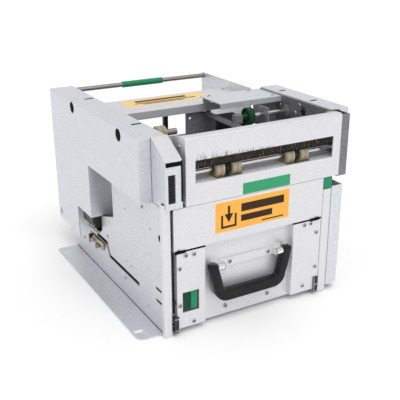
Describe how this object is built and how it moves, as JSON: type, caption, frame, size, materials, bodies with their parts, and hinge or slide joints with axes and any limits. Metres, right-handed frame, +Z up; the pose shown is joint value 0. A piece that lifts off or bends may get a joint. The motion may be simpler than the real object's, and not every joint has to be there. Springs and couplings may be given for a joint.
{
  "type": "bill validator",
  "caption": "Sheet-metal banknote validator module: feed slot with rollers and brush over a bay with a removable reject bin and carrying handle.",
  "frame": {"origin": "middle of the bounding box's footprint, on the floor plane under the base flanges", "axes": "+X to the right and +Y to the back as the operator faces the feed slot, +Z up"},
  "size_m": [0.316, 0.34, 0.2455],
  "materials": {
    "zinc_sheet": "galvanised sheet steel, fine spangle and satin grain",
    "shaft_steel": "ground bright steel",
    "screw_steel": "zinc-plated screw heads",
    "chrome_pin": "bright chrome",
    "aluminium_rail": "dull grey anodised",
    "brass_part": "worn brass",
    "black_plastic": "moulded matte black",
    "black_spring": "blackened spring steel",
    "green_plastic": "moulded green, semi-gloss",
    "white_plastic": "moulded white",
    "grey_plastic": "moulded grey",
    "tan_rubber": "moulded tan elastomer",
    "belt_rubber": "black neoprene",
    "bristle_fibre": "dark conductive bristles",
    "motor_can": "black painted can",
    "board_green": "solder-masked board"
  },
  "bodies": {
    "chassis": {"left_side_plate": "zinc_sheet", "right_side_plate": "zinc_sheet", "front_posts": "zinc_sheet", "right_side_channel": "zinc_sheet", "bay_roof_plate": "zinc_sheet", "bay_rear_plate": "zinc_sheet", "bin_rails": "zinc_sheet", "docking_connector": "black_plastic", "microswitches": "white_plastic", "left_transport_plate": "zinc_sheet", "right_transport_plate": "zinc_sheet", "left_upper_cover": "zinc_sheet", "left_column": "zinc_sheet", "left_sloped_plate": "zinc_sheet", "right_upper_cover": "zinc_sheet", "right_column": "zinc_sheet", "upper_front_panel": "zinc_sheet", "cross_tray": "zinc_sheet", "raised_cover": "zinc_sheet", "inner_brackets": "zinc_sheet", "rear_cross_rod": "shaft_steel", "rod_sleeve": "green_plastic", "centre_rail": "aluminium_rail", "guide_plates": "zinc_sheet", "sensor_heads": "black_plastic", "sensor_modules": "black_plastic", "brush_holder": "aluminium_rail", "brush_bristles": "bristle_fibre", "drive_motor": "motor_can", "timing_belts": "belt_rubber", "shaft_bushes": "brass_part", "solenoids": "black_plastic", "lock_bracket": "shaft_steel", "control_board": "board_green", "frame_screws": "screw_steel"},
    "bin": {"bin_shell": "zinc_sheet", "bin_front_plate": "zinc_sheet", "bin_upper_front": "zinc_sheet", "bin_left_block": "zinc_sheet", "bin_right_block": "zinc_sheet", "handle_bracket": "shaft_steel", "bin_screws": "screw_steel", "bin_clips": "black_spring"},
    "bin_handle": {"bin_handle": "black_plastic", "handle_pins": "chrome_pin"},
    "bin_latch": {"bin_latch": "green_plastic"},
    "bin_shutter": {"bin_shutter": "zinc_sheet"},
    "feed_roller": {"front_roller_shaft": "shaft_steel", "front_rollers": "tan_rubber", "front_pulleys": "grey_plastic"},
    "upper_roller": {"upper_shaft": "shaft_steel", "upper_roller": "tan_rubber"},
    "jam_knob": {"jam_knob": "green_plastic", "knob_shaft": "shaft_steel"},
    "motor_rotor": {"motor_shaft": "shaft_steel"},
    "diverter_gate": {"gate_shaft": "shaft_steel", "gate_vane": "zinc_sheet"},
    "release_tab": {"release_tab": "green_plastic"},
    "lock_lever": {"lock_lever": "brass_part"}
  },
  "joints": [
    {"name": "bin_slide", "type": "slide", "parent": "chassis", "child": "bin", "axis": [0, -1, 0], "range_m": [0, 0.25]},
    {"name": "handle_fold", "type": "hinge", "parent": "bin", "child": "bin_handle", "pos_m": [-0.009, -0.1637, 0.079], "axis": [-1, 0, 0], "range_deg": [0, 95]},
    {"name": "latch_slide", "type": "slide", "parent": "bin", "child": "bin_latch", "axis": [1, 0, 0], "range_m": [0, 0.007], "stiffness_N_per_m": 250},
    {"name": "shutter_slide", "type": "slide", "parent": "bin", "child": "bin_shutter", "axis": [0, -1, 0], "range_m": [0, 0.038]},
    {"name": "feed_roller_spin", "type": "hinge", "parent": "chassis", "child": "feed_roller", "pos_m": [0.005, -0.146, 0.1985], "axis": [1, 0, 0], "continuous": true},
    {"name": "upper_roller_spin", "type": "hinge", "parent": "chassis", "child": "upper_roller", "pos_m": [-0.091, -0.079, 0.229], "axis": [1, 0, 0], "continuous": true},
    {"name": "jam_knob_spin", "type": "hinge", "parent": "chassis", "child": "jam_knob", "pos_m": [0.065, -0.041, 0.222], "axis": [1, 0, 0], "continuous": true},
    {"name": "motor_spin", "type": "hinge", "parent": "chassis", "child": "motor_rotor", "pos_m": [-0.115, -0.013, 0.1985], "axis": [1, 0, 0], "continuous": true},
    {"name": "gate_swing", "type": "hinge", "parent": "chassis", "child": "diverter_gate", "pos_m": [0.005, -0.051, 0.188], "axis": [-1, 0, 0], "range_deg": [0, 20], "stiffness_Nm_per_rad": 0.06, "springref_deg": -22.92},
    {"name": "release_slide", "type": "slide", "parent": "chassis", "child": "release_tab", "axis": [0, -1, 0], "range_m": [0, 0.008], "stiffness_N_per_m": 300},
    {"name": "lock_swing", "type": "hinge", "parent": "chassis", "child": "lock_lever", "pos_m": [-0.1285, 0.056, 0.045], "axis": [-1, 0, 0], "range_deg": [0, 12], "stiffness_Nm_per_rad": 0.02, "springref_deg": -17.19}
  ],
  "couplings": [
    {"joint": "upper_roller_spin", "follows": "feed_roller_spin", "ratio": 1},
    {"joint": "jam_knob_spin", "follows": "feed_roller_spin", "ratio": 0.66667},
    {"joint": "motor_spin", "follows": "feed_roller_spin", "ratio": 1.5}
  ]
}
